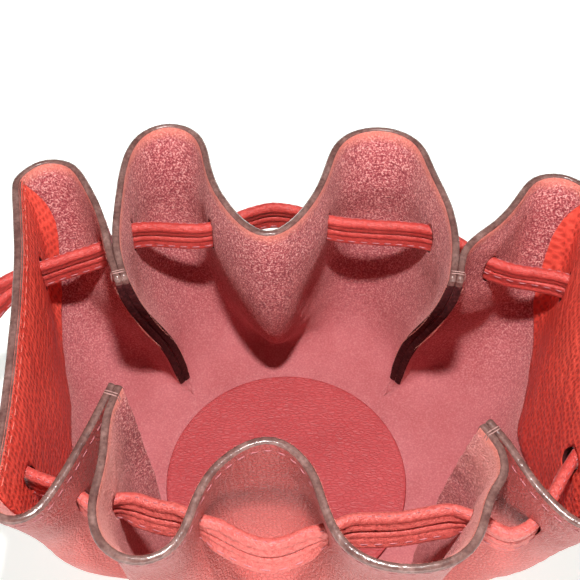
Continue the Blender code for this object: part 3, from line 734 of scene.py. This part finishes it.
def body():
    mesh = Mesh()
    NF = 7                      # columns in a seam allowance
    floor_ring = []
    for p in range(4):
        base = list(even_columns(p, 1.45))
        cuts = []
        for i in (SEAMS[p], (SEAMS[p] + 1) % 8):
            for k in (0, 1):
                cuts.append(crossing(i, k, 0.0, T / 2, -0.1))
        tcol = np.tile(np.array(base)[:, None], (1, len(ROWS)))     # columns x rows
        cols = [("plain", b, None) for b in base]
        for c, w in cuts:
            W = w + 0.16
            cols = [q for q in cols if q[0] != "plain" or not (c - W < q[1] < c + W)]
            for side in (-1, 1):
                for g in (0.0, 0.34, 0.67, 1.0):
                    cols.append(("cut", c + side * (w + (W - w) * g), (c, w, W, side, g)))
        cols.sort(key=lambda q: q[1])
        C = len(cols)
        tt = np.zeros((len(ROWS), C))
        open_ = np.where((ROWS >= V_LO - 1e-9) & (ROWS <= V_HI + 1e-9), slit_shape(ROWS), 0.0)
        for j, (kind, t, data) in enumerate(cols):
            if kind == "plain":
                tt[:, j] = t
            else:
                c, w, W, side, g = data
                edge = np.maximum(w * open_, 0.012)
                tt[:, j] = c + side * (edge + (W - edge) * g)
        skip = set()
        for c, w in cuts:
            j = min(range(C), key=lambda q: abs(cols[q][1] - (c - w)) + (0 if cols[q][2] and cols[q][2][4] == 0.0 else 9))
            for r in range(R_LO, R_HI):
                skip.add((r, j + NF))
        vv = np.tile(ROWS[:, None], (1, C))
        S, n, dt = surf(p, tt, vv)
        # seam allowances at both ends
        R = len(ROWS)
        P = np.zeros((R, C + 2 * NF, 3))
        N = np.zeros_like(P)
        half = np.full((R, C + 2 * NF), T / 2)
        P[:, NF:NF + C], N[:, NF:NF + C] = S, n
        for end, seam, other_p in ((0, SEAMS[p], (p - 1) % 4), (1, (SEAMS[p] + 2) % 8, (p + 1) % 4)):
            own = S[:, 0] if end == 0 else S[:, -1]
            opp = points(other_p, np.full(R, 16.0 if end == 0 else 0.0), ROWS)
            m = (own - opp)[:, :2]
            m /= np.linalg.norm(m, axis=1, keepdims=True)          # away from the seam's plane
            e = np.c_[-m[:, 1], m[:, 0]] if end == 1 else np.c_[m[:, 1], -m[:, 0]]
            w5 = list(FLAPS[seam][1])[::-1]
            width = np.interp(ROWS, FLAP_V, [0.0, 0.0, 1.6, 2.5] + w5[1:])
            ragged = 0.06 * np.sin(ROWS * 61 + seam) + 0.05 * np.sin(ROWS * 143 + 2 * seam + end)
            width = np.maximum(width + ragged * np.clip(width / 3, 0, 1), 0.02)
            k = np.clip((ROWS - 0.055) / 0.045, 0, 1)[:, None]
            reach = e * width[:, None]
            if seam in (1, 7):
                up = ROWS >= 0.10
                tip = own[:, :2] + reach
                for axis in (0, 1):
                    even = np.polyfit(ROWS[up], tip[up, axis], 3)
                    reach[up, axis] = np.polyval(even, ROWS[up]) - own[up, axis]
            X = k * reach + (1 - k) * (opp - own)[:, :2] / 2
            _, n_opp, _ = surf(other_p, np.full((R, 1), 16.0 if end == 0 else 0.0), ROWS[:, None])
            n_mid = n[:, 0 if end == 0 else -1] + n_opp[:, 0]
            n_mid /= np.linalg.norm(n_mid, axis=1, keepdims=True)
            thin = np.interp(ROWS, [0.1, 0.2, 0.9, 1.0], [0.0, -0.20 if seam in (1, 7) else -0.14, -0.06, 0.06])
            for q in range(1, NF + 1):
                f = q / NF
                col = NF - q if end == 0 else NF + C - 1 + q
                P[:, col, :2] = own[:, :2] + X * f - m * (thin * min(1, f * 3))[:, None]
                P[:, col, 2] = own[:, 2]
                N[:, col] = np.c_[m, np.zeros(R)] * k + (n[:, 0 if end == 0 else -1] * (1 - f) + n_mid * f) * (1 - k)
                half[:, col] = T / 2 - thin * min(1, f * 3)
        N /= np.linalg.norm(N, axis=2, keepdims=True)
        out, inn = P - N * half[..., None], P + N * half[..., None]
        out[0], inn[0] = P[0], P[0]
        out[0, :, 2], inn[0, :, 2] = 0.0, T
        CC = C + 2 * NF
        bo = mesh.add(out)
        bi = mesh.add(inn)
        flap = lambda c: c < NF or c >= NF + C - 1
        mesh.grid(bo, R, CC, flip=True, skip=skip, mats=lambda r, c: 1)
        mesh.grid(bi, R, CC, skip=skip, mats=lambda r, c: 0)
        for (r, c) in skip:
            a, b, d, e2 = (r, c), (r, c + 1), (r + 1, c + 1), (r + 1, c)
            for (r0, c0), (r1, c1) in ((a, e2), (d, b)):
                mesh.quad((bo + r0 * CC + c0, bo + r1 * CC + c1, bi + r1 * CC + c1, bi + r0 * CC + c0), 3)
            if r == R_LO:
                mesh.quad((bo + r * CC + c + 1, bo + r * CC + c, bi + r * CC + c, bi + r * CC + c + 1), 3)
            if r == R_HI - 1:
                mesh.quad((bo + (r + 1) * CC + c, bo + (r + 1) * CC + c + 1, bi + (r + 1) * CC + c + 1, bi + (r + 1) * CC + c), 3)
        # painted rim
        K = 6
        rim = np.zeros((K + 1, CC, 3))
        for k in range(K + 1):
            th = math.pi * k / K
            swell = 1.0 + 0.06 * math.sin(th)
            rim[k] = P[-1] - N[-1] * (half[-1] * swell * math.cos(th))[:, None] + np.array([0, 0, CAP * math.sin(th)])
        br = mesh.add(rim)
        mesh.grid(br, K + 1, CC, flip=True, mat=2)
        # raw tips of the seam allowances
        for end in (0, 1):
            col = 0 if end == 0 else CC - 1
            tip = np.zeros((R, K + 1, 3))
            nxt = P[:, 1] if end == 0 else P[:, -2]
            d = P[:, col] - nxt
            d /= np.maximum(np.linalg.norm(d, axis=1, keepdims=True), 1e-6)
            fuzz = 0.10 * np.sin(np.arange(R) * 2.3 + p) + 0.08 * np.sin(np.arange(R) * 5.1 + end)
            for k in range(K + 1):
                th = math.pi * k / K
                tip[:, k] = (out[:, col] + inn[:, col]) / 2 - (inn[:, col] - out[:, col]) / 2 * math.cos(th) + d * ((0.28 + fuzz) * np.clip((ROWS - 0.06) / 0.05, 0, 1) * math.sin(th))[:, None]
            bt = mesh.add(tip)
            back = (SEAMS[p] if end == 0 else (SEAMS[p] + 2) % 8) in (1, 7)
            mesh.grid(bt, R, K + 1, flip=end == 0, mats=lambda r, c: 2 if ROWS[r] > 0.965 else (3 if back and ROWS[r] > 0.11 else 0))
            cap_top = [br + k * CC + col for k in range(K + 1)]
            mesh.f.append(tuple(cap_top))
            mesh.m.append(2)
            mesh.f.append(tuple([bt + (R - 1) * (K + 1) + k for k in range(K + 1)]))
            mesh.m.append(2)
        floor_ring.append((out[0], inn[0]))
    # floor
    ring = np.vstack([q[1] for q in floor_ring])
    n = len(ring)
    for z, flip in ((T, True), (0.0, False)):
        levels = []
        for k, f in enumerate((1.0, 0.93, 0.8, 0.5)):
            Q = ring.copy()
            Q[:, :2] *= f
            Q[:, 2] = z
            levels.append(mesh.add(Q))
        mat = 0 if z > 0 else 1
        for a, b in zip(levels[:-1], levels[1:]):
            for j in range(n):
                j2 = (j + 1) % n
                q = (a + j, a + j2, b + j2, b + j)
                mesh.quad(q[::-1] if not flip else q, mat)
        last = [levels[-1] + j for j in range(n)]
        mesh.f.append(tuple(last if not flip else last))
        mesh.m.append(mat)
    ob = mesh.build("pouch_leather", [SUEDE, OUTER, PAINT, RAW], merge=1e-6)
    return ob


FACE_V = [0.36, 0.38, 0.42, 0.46, 0.50, 0.55, 0.60, 0.66, 0.72, 0.775, 0.82, 0.86, 0.90, 0.93, 0.96, 0.99]
FACE_T = [6.9, 6.0, 5.15, 4.75, 4.42, 4.30, 4.25, 4.20, 4.18, 4.20, 4.30, 4.42, 4.62, 4.80, 5.02, 5.30]


def facing(name, p, mirrored):
    """Side lining: a round-bottomed patch over both lobes of a side, from the floor's curve to the rim."""
    mesh = Mesh()
    cuts = []
    for i in (SEAMS[p], (SEAMS[p] + 1) % 8):
        for k in (0, 1):
            c, w = crossing(i, k, T / 2 + FACING_T / 2, FACING_T / 2, -0.1)
            if 4.6 < c < 11.4:
                cuts.append((c, w))
    rows = np.array(sorted([v for v in np.linspace(0.36, 0.998, 90) if min(abs(v - V_LO), abs(v - V_HI)) > 0.004] + [V_LO, V_HI]))
    base = np.linspace(4.0, 12.0, 121)
    cols = [("plain", b, None) for b in base]
    for c, w in cuts:
        W = w + 0.14
        cols = [q for q in cols if q[0] != "plain" or not (c - W < q[1] < c + W)]
        for side in (-1, 1):
            for g in (0.0, 0.5, 1.0):
                cols.append(("cut", c + side * (w + (W - w) * g), (c, w, W, side, g)))
    cols.sort(key=lambda q: q[1])
    C, R = len(cols), len(rows)
    open_ = np.where((rows >= V_LO - 1e-9) & (rows <= V_HI + 1e-9), slit_shape(rows), 0.0)
    near = np.interp(rows, FACE_V, FACE_T)
    lo_t = near if not mirrored else np.interp(rows, FACE_V, np.array(FACE_T) + 0.5)
    hi_t = 16 - near - (0.0 if mirrored else 0.9)
    if mirrored:
        hi_t = 16 - near
    tt = np.zeros((R, C))
    for j, (kind, t, data) in enumerate(cols):
        if kind == "plain":
            tt[:, j] = t
        else:
            c, w, W, side, g = data
            edge = np.maximum(w * open_, 0.012)
            tt[:, j] = c + side * (edge + (W - edge) * g)
    tt = np.clip(tt, lo_t[:, None], hi_t[:, None])
    S, n, _ = surf(p, tt, np.tile(rows[:, None], (1, C)))
    gap = T / 2 + 0.05
    thick = np.interp(rows, [0.36, 0.40, 0.90, 1.0], [0.45, FACING_T, FACING_T, 0.40])[:, None, None]
    bo, bi = mesh.add(S + n * gap), mesh.add(S + n * (gap + thick))
    skip = set()
    for c, w in cuts:
        j = [q for q in range(C) if cols[q][0] == "cut" and cols[q][2][0] == c and cols[q][2][4] == 0.0 and cols[q][2][3] == -1][0]
        for r in range(R):
            if V_LO - 1e-9 <= rows[r] < V_HI - 1e-9:
                skip.add((r, j))
    mesh.grid(bi, R, C, skip=skip)
    mesh.grid(bo, R, C, flip=True, skip=skip)
    edge = [(0, c) for c in range(C)] + [(r, C - 1) for r in range(1, R)] + [(R - 1, c) for c in range(C - 2, -1, -1)] + [(r, 0) for r in range(R - 2, 0, -1)]
    for a, b in zip(edge, edge[1:] + edge[:1]):
        top = a[0] == R - 1 and b[0] == R - 1
        mesh.quad((bo + a[0] * C + a[1], bo + b[0] * C + b[1], bi + b[0] * C + b[1], bi + a[0] * C + a[1]), 1 if top else 0)
    for (r, c) in skip:
        for (r0, c0), (r1, c1), nb in (((r, c), (r + 1, c), (r, c - 1)), ((r + 1, c + 1), (r, c + 1), (r, c + 1)),
                                       ((r + 1, c), (r + 1, c + 1), (r + 1, c)), ((r, c + 1), (r, c), (r - 1, c))):
            if nb not in skip:
                mesh.quad((bo + r0 * C + c0, bo + r1 * C + c1, bi + r1 * C + c1, bi + r0 * C + c0), 2)
    return mesh.build(name, [FACING, PAINT, RAW], merge=1e-6)


# ------------------------------------------------------------ drawstrings
def strap_profile(kind):
    """Section of a drawstring, anticlockwise (u, w): a round roll above a thinner stitched lip."""
    if kind == "upper":
        rc, rr, lip = 0.50, 1.22, [(-0.98, -0.75), (-0.98, -1.35), (-0.75, -1.66)]
    else:
        rc, rr, lip = 0.88, 1.12, [(-0.97, -0.10), (-1.03, -0.55), (-1.10, -0.95), (-1.08, -1.12), (-1.15, -1.30),
                                   (-1.22, -1.62), (-1.14, -1.86), (-0.80, -2.0)]
    a0 = -40 if kind == "upper" else -36
    pts = [(rr * math.cos(math.radians(a)), rc + rr * math.sin(math.radians(a))) for a in np.linspace(a0, 180 - a0, 22)]
    return np.array(pts + lip + [(-u, w) for u, w in lip][::-1])


def strap(name, R, z, length, kind, marks, turn=None):
    """Drawstring along the closed route R. turn(s) is how far the section is turned over, in degrees."""
    mesh = Mesh()
    D, side = frames(R)
    n = len(R)
    s = np.arange(n) * length / n
    ang = np.radians([turn(x) if turn else 0.0 for x in s])
    soft = lambda x: np.clip(x, 0, 1) ** 2 * (3 - 2 * np.clip(x, 0, 1))
    near = np.min([np.abs((s - q + length / 2) % length - length / 2) for q in marks.values()], axis=0)
    lean = -np.radians(26.0) * side[:, 1] * soft((-16.0 - R[:, 1]) / 8.0) * soft((near - 0.4) / 5.0) * np.interp(R[:, 1], [-46, -43], [0.35, 1.0]) * np.interp(np.abs(R[:, 0]), [33, 38], [1, 0])
    arm = z - (Z_DOWN + 1.9)

    def laid(k, uu, ww):
        a, b_ = uu * math.cos(ang[k]) - ww * math.sin(ang[k]), uu * math.sin(ang[k]) + ww * math.cos(ang[k]) + arm
        return a * math.cos(lean[k]) - b_ * math.sin(lean[k]), a * math.sin(lean[k]) + b_ * math.cos(lean[k]) - arm
    wob = 0.10 * np.sin(s * 0.37) + 0.06 * np.sin(s * 0.91)
    flip = kind == "upper"
    section = strap_profile(kind)
    u, w = section[:, 0], section[:, 1]
    P = np.zeros((n, len(u), 3))
    for k in range(n):
        full = np.where(np.arange(len(u)) >= 22, np.sign(u) * np.maximum(np.abs(u), 1.14), u)
        g = min(1.0, abs(lean[k]) / 0.2)
        uu, ww = laid(k, u * (1 - g) + full * g, w)
        P[k, :, 0] = R[k, 0] + side[k, 0] * uu
        P[k, :, 1] = R[k, 1] + side[k, 1] * uu
        P[k, :, 2] = z + ww + wob[k] * 0.6
    b = mesh.add(P)
    m = len(u)
    for k in range(n):
        k2 = (k + 1) % n
        for j in range(m):
            j2 = (j + 1) % m
            mesh.quad((b + k * m + j, b + k2 * m + j, b + k2 * m + j2, b + k * m + j2))
    # stitches
    pitch, L = 2.8, 1.75
    count = int(round(length / pitch))
    A, B, Nn = [], [], []

    def at(x, uu, ww):
        f = (x % length) / length * n
        k = int(f) % n
        k2 = (k + 1) % n
        g = f - int(f)
        c0 = R[k] * (1 - g) + R[k2] * g
        sd = side[k] * (1 - g) + side[k2] * g
        a = ang[k] + lean[k]
        u2, w2 = laid(k, uu, ww)
        nu_, nw_ = (1 if uu > 0 else -1) * math.cos(a), (1 if uu > 0 else -1) * math.sin(a)
        return (np.array([c0[0] + sd[0] * u2, c0[1] + sd[1] * u2, z + w2 + 0.6 * (wob[k] * (1 - g) + wob[k2] * g)]),
                np.array([sd[0] * nu_, sd[1] * nu_, nw_]))
    for j in range(count):
        x0 = j * length / count
        for sgn in (() if flip else (-1, 1)):
            a, na = at(x0, sgn * 1.10, -1.12)
            c, _ = at(x0 + L, sgn * 1.10, -1.12)
            A.append(a)
            B.append(c)
            Nn.append(na)
    if flip:
        for j in range(int(length / 1.9)):
            x0 = j * 1.9
            for sgn in (1,):
                a, _ = at(x0, sgn * -0.62, 1.54)
                c, _ = at(x0 + 0.9, sgn * -0.62, 1.54)
                A.append(a)
                B.append(c)
                Nn.append(np.array([0, 0, 1.0]))
    capsules(mesh, A, B, Nn, 0.11 if flip else 0.16, mat=1)
    ob = mesh.build(name, [STRAP, LILAC])
    return ob


def sleeve(name, R, z, near):
    mesh = Mesh()
    _, side = frames(R)
    k0 = int(np.linalg.norm(R - np.array(near), axis=1).argmin())
    half = 6
    ks = [(k0 + j) % len(R) for j in range(-half, half + 1)]
    rings = []
    for j, k in enumerate(ks):
        swell = 1.0 + 0.06 * math.sin(math.pi * j / (2 * half))
        for kind in ("in", "out"):
            a = np.radians(np.linspace(0, 360, 25)[:-1])
            e = 4.0
            hw, hh = ((1.55, 2.35) if kind == "in" else (2.45 * swell, 3.25 * swell))
            c, s_ = np.cos(a), np.sin(a)
            rad = (np.abs(c / hw) ** e + np.abs(s_ / hh) ** e) ** (-1 / e)
            rings.append(np.c_[R[k, 0] + side[k, 0] * rad * c, R[k, 1] + side[k, 1] * rad * c, z + rad * s_])
    b = mesh.add(np.vstack(rings))
    m = 24
    for a in range(len(ks) - 1):
        for j in range(m):
            j2 = (j + 1) % m
            A, B = b + a * 2 * m, b + (a + 1) * 2 * m
            mesh.quad((A + m + j, B + m + j, B + m + j2, A + m + j2))
            mesh.quad((A + j2, B + j2, B + j, A + j))
    for j in range(m):
        j2 = (j + 1) % m
        e = b + (len(ks) - 1) * 2 * m
        mesh.quad((b + j, b + j2, b + m + j2, b + m + j)[::-1])
        mesh.quad((e + j, e + j2, e + m + j2, e + m + j))
    A, B, N = [], [], []
    for j in range(1, 2 * half - 1, 3):
        k, k2 = ks[j], ks[j + 2]
        for sg in (-1, 1):
            for w in (2.2, -2.2):
                A.append([R[k, 0] + sg * side[k, 0] * 2.45, R[k, 1] + sg * side[k, 1] * 2.45, z + w])
                B.append([R[k2, 0] + sg * side[k2, 0] * 2.45, R[k2, 1] + sg * side[k2, 1] * 2.45, z + w])
                N.append([sg * side[k, 0], sg * side[k, 1], 0])
    capsules(mesh, A, B, N, 0.2, mat=1)
    return mesh.build(name, [STRAP, LILAC])


# ------------------------------------------------------------ threads
def rim_stitches():
    mesh = Mesh()
    v = height_to_v(Z0 + H_RIM - 2.6)
    pitch, L = 2.9, 1.8
    for p in range(4):
        tt = np.linspace(0.0, 16.0, 1601)
        Q = points(p, tt, np.full(1601, v))
        s = np.concatenate([[0], np.cumsum(np.linalg.norm(np.diff(Q, axis=0), axis=1))])
        n = int((s[-1] - 2.0) / pitch)
        a = np.interp(1.0 + np.arange(n) * pitch, s, tt)
        b = np.interp(1.0 + np.arange(n) * pitch + L, s, tt)
        SA, NA, _ = surf(p, a, np.full(n, v))
        SB, NB, _ = surf(p, b, np.full(n, v))
        capsules(mesh, SA - NA * (T / 2), SB - NB * (T / 2), -NA, 0.115, mat=0)
        if p in (1, 3):
            on = (a > 5.2) & (b < 11.0)
            off = T / 2 + 0.05 + 0.62
            capsules(mesh, (SA + NA * off)[on], (SB + NB * off)[on], NA[on], 0.125, mat=1)
    return mesh.build("rim_stitches", [LILAC, thread("thread_salmon", lin(200, 98, 86), lin(220, 126, 112))])


def fuzz():
    """Short loose fibres along the rim's inner edge and the edges of the back seam allowances."""
    mesh = Mesh()
    zr = Z0 + H_RIM - CAP

    def hairs(P, D, length, radius):
        for q, d, L in zip(P, D, length):
            d = d / np.linalg.norm(d)
            a = np.cross(d, [0.3, 0.2, 0.9])
            a /= np.linalg.norm(a)
            b = np.cross(d, a)
            base = mesh.add([q + radius * a, q - radius * 0.5 * a + radius * 0.87 * b, q - radius * 0.5 * a - radius * 0.87 * b, q + d * L])
            mesh.f += [(base, base + 1, base + 3), (base + 1, base + 2, base + 3), (base + 2, base, base + 3), (base, base + 2, base + 1)]
            mesh.m += [0] * 4
    for p in range(4):
        n = 1500
        t = np.sort(rng.uniform(0.02, 15.98, n))
        v = 1.0 - rng.uniform(0.0, 0.012, n)
        S, N, _ = surf(p, t, v)
        off = T / 2 + (0.62 if p in (1, 3) else 0.0) * ((t > 5.3) & (t < 10.9))
        root = S + N * off[:, None] if hasattr(off, "shape") else S + N * off
        D = N * rng.uniform(0.3, 1.0, (n, 1)) + np.array([0, 0, 1.0]) * rng.uniform(-0.5, 1.0, (n, 1)) + rng.normal(0, 0.5, (n, 3))
        hairs(root, D, rng.uniform(0.12, 0.42, n), 0.05)
    for seam in (1, 7):
        dirs, ws = FLAPS[seam]
        for sg in (-1, 1):
            for v in rng.uniform(0.17, 0.97, 420):
                w = float(np.interp(v, FLAP_V, [0.0, 0.0, 1.6, 2.5] + list(ws)[::-1][1:]))
                p = SEAMS.index(seam) if sg < 0 else (SEAMS.index(seam) - 1) % 4
                end = 0.0 if sg < 0 else 16.0
                own = points(p, [end], [v])[0]
                opp = points((p - 1) % 4 if sg < 0 else (p + 1) % 4, [16.0 - end], [v])[0]
                m = (own - opp)[:2]
                m /= np.linalg.norm(m)
                e = np.array([m[1], -m[0]]) if sg < 0 else np.array([-m[1], m[0]])
                q = np.array([*(own[:2] + e * (w + 0.05) + m * (T / 2 + 0.08)), own[2]])
                d = np.array([*(m * rng.uniform(0.2, 1.0) + e * rng.uniform(0.0, 0.8)), rng.uniform(-0.4, 0.7)]) + rng.normal(0, 0.3, 3)
                hairs([q], [d], [rng.uniform(0.15, 0.5)], 0.05)
    k = Mat("loose_fibres", 0.9, 0.1)
    k.colour(k.mix(k.noise(800, 2.0), lin(206, 108, 100), lin(240, 168, 152)))
    return mesh.build("loose_fibres", [k.m])


def bar_tacks():
    mesh = Mesh()
    for seam, (dirs, ws) in FLAPS.items():
        J = np.array(CUSPS[seam][1][0])
        e = unit(dirs[0])
        m = np.array([e[1], -e[0]])
        c0 = J + e * (ws[0] - 2.1)
        top = Z0 + H_RIM
        for q in (-0.28, 0.28):
            c = c0 + e * q
            for sg in (-1, 1):
                A = [*(c + sg * m * (T - 0.1)), top - 0.2]
                B = [*(c + sg * m * (T + 0.02)), top - 2.4]
                capsules(mesh, [A], [B], [[sg * m[0], sg * m[1], 0]], 0.13)
            A = np.array([*(c + m * (T - 0.1)), top + 0.02])
            B = np.array([*(c - m * (T - 0.1)), top + 0.02])
            capsules(mesh, [A], [B], [[0, 0, 1.0]], 0.14)
    return mesh.build("bar_tacks", [PALE])


def base_disc():
    mesh = Mesh()
    n = 160
    prof = [(DISC_R - 0.35, 0.0), (DISC_R - 0.08, 0.12), (DISC_R, 0.4), (DISC_R, 0.9), (DISC_R - 0.10, 1.16),
            (DISC_R - 0.35, DISC_T)] + [(r, DISC_T) for r in (29, 26, 22, 17, 11, 5)]
    P = [[r * math.cos(2 * math.pi * k / n), r * math.sin(2 * math.pi * k / n), T + GAP + z] for r, z in prof for k in range(n)]
    b = mesh.add(P)
    for q in range(len(prof) - 1):
        for k in range(n):
            k2 = (k + 1) % n
            mesh.quad((b + q * n + k, b + q * n + k2, b + (q + 1) * n + k2, b + (q + 1) * n + k), 1 if q < 4 else 0)
    mesh.f.append(tuple(b + k for k in range(n))[::-1])
    mesh.m.append(0)
    mesh.f.append(tuple(b + (len(prof) - 1) * n + k for k in range(n)))
    mesh.m.append(0)
    return mesh.build("base_disc_leather", [DISC, DISC_EDGE])


leather = body()
disc = base_disc()
left = facing("facing_left_leather", 3, True)
right = facing("facing_right_leather", 1, False)


def turned(s):
    """The lower drawstring lies the other way up inside the right back lobe."""
    a, b = MARK_DOWN[(1, 0)] - 7.0, MARK_DOWN[(1, 1)] + 2.0
    ease = lambda x: 0.5 - 0.5 * math.cos(math.pi * min(max(x, 0.0), 1.0))
    return 180.0 * ease((s - a) / 6.0) * (1 - ease((s - b) / 12.0))


up = strap("drawstring_upper_leather", ROUTE_UP, Z_DOWN + 3.75, LEN_UP, "upper", MARK_UP)
down = strap("drawstring_lower_leather", ROUTE_DOWN, Z_DOWN, LEN_DOWN, "lower", MARK_DOWN, turned)
s_left = sleeve("sleeve_left_leather", ROUTE_UP, Z_UP, (-73.0, -2.0))
s_right = sleeve("sleeve_right_leather", ROUTE_DOWN, Z_DOWN, (76.4, 2.0))
stitches = rim_stitches()
tacks = bar_tacks()
fibres = fuzz()

for piece, node, slot in (
        (leather, "pouch_body", "body_leather"), (disc, "base_disc", "disc_leather"),
        (left, "side_facing_left", "facing_leather"), (right, "side_facing_right", "facing_leather"),
        (up, "drawstring_upper", "strap_leather"), (down, "drawstring_lower", "strap_leather"),
        (s_left, "sleeve_left", "strap_leather"), (s_right, "sleeve_right", "strap_leather")):
    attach(piece, "root")
    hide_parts(node)
for piece in (stitches, tacks, fibres):
    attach(piece, "root")

# ------------------------------------------------------------ floor, light and camera
bpy.ops.mesh.primitive_plane_add(size=6.0, location=(0, 0, -0.0002))
floor = bpy.context.object
floor.name = "studio_floor"
fm = Mat("floor_white", 0.8, 0.2)
fm.colour((0.80, 0.79, 0.765, 1.0))
fm.b.inputs["Emission Color"].default_value = (0.90, 0.99, 0.955, 1.0)
fm.b.inputs["Emission Strength"].default_value = 0.69
floor.data.materials.append(fm.m)

world = bpy.data.worlds.new("studio")
bpy.context.scene.world = world
world.use_nodes = True
bg = world.node_tree.nodes["Background"]
bg.inputs["Color"].default_value = (1.0, 0.985, 0.97, 1.0)
bg.inputs["Strength"].default_value = 0.06


def area(name, loc, look, size, power, colour=(1, 1, 1), shape="RECTANGLE"):
    li = bpy.data.lights.new(name, "AREA")
    li.shape = shape
    li.size, li.size_y = size
    li.energy = power
    li.color = colour
    ob = bpy.data.objects.new(name, li)
    ob.location = loc
    ob.rotation_euler = (Vector(look) - Vector(loc)).to_track_quat("-Z", "Y").to_euler()
    bpy.context.scene.collection.objects.link(ob)
    return ob


area("overhead", (MID[0] + 0.003, MID[1] - 0.053, 0.310), (MID[0], MID[1] + 0.01, 0.0), (0.018, 0.018), 1.10, (1.0, 0.99, 0.975), "DISK")
back = area("backdrop", (0.0, 0.42, 0.50), (0.0, 0.42, 0.0), (1.0, 0.30), 9.0)
back.data.spread = math.radians(40)
area("front", (0.0, -0.60, 0.20), (0.0, -0.05, 0.03), (0.9, 0.20), 3.0, (1.0, 0.995, 0.98))

cam = bpy.data.cameras.new("camera")
cam.sensor_width = 36.0
cam.lens = 36.0 * 1000.0 / 580.0
cam.clip_start = 0.01
cam_ob = bpy.data.objects.new("camera", cam)
cam_ob.location = (MID[0] + 0.00092383, MID[1] - 0.11065078, (Z0 + 229.79305) * 0.001)
cam_ob.rotation_euler = (math.radians(36.385145), 0, 0)
bpy.context.scene.collection.objects.link(cam_ob)
bpy.context.scene.camera = cam_ob
bpy.context.scene.view_settings.view_transform = "Standard"
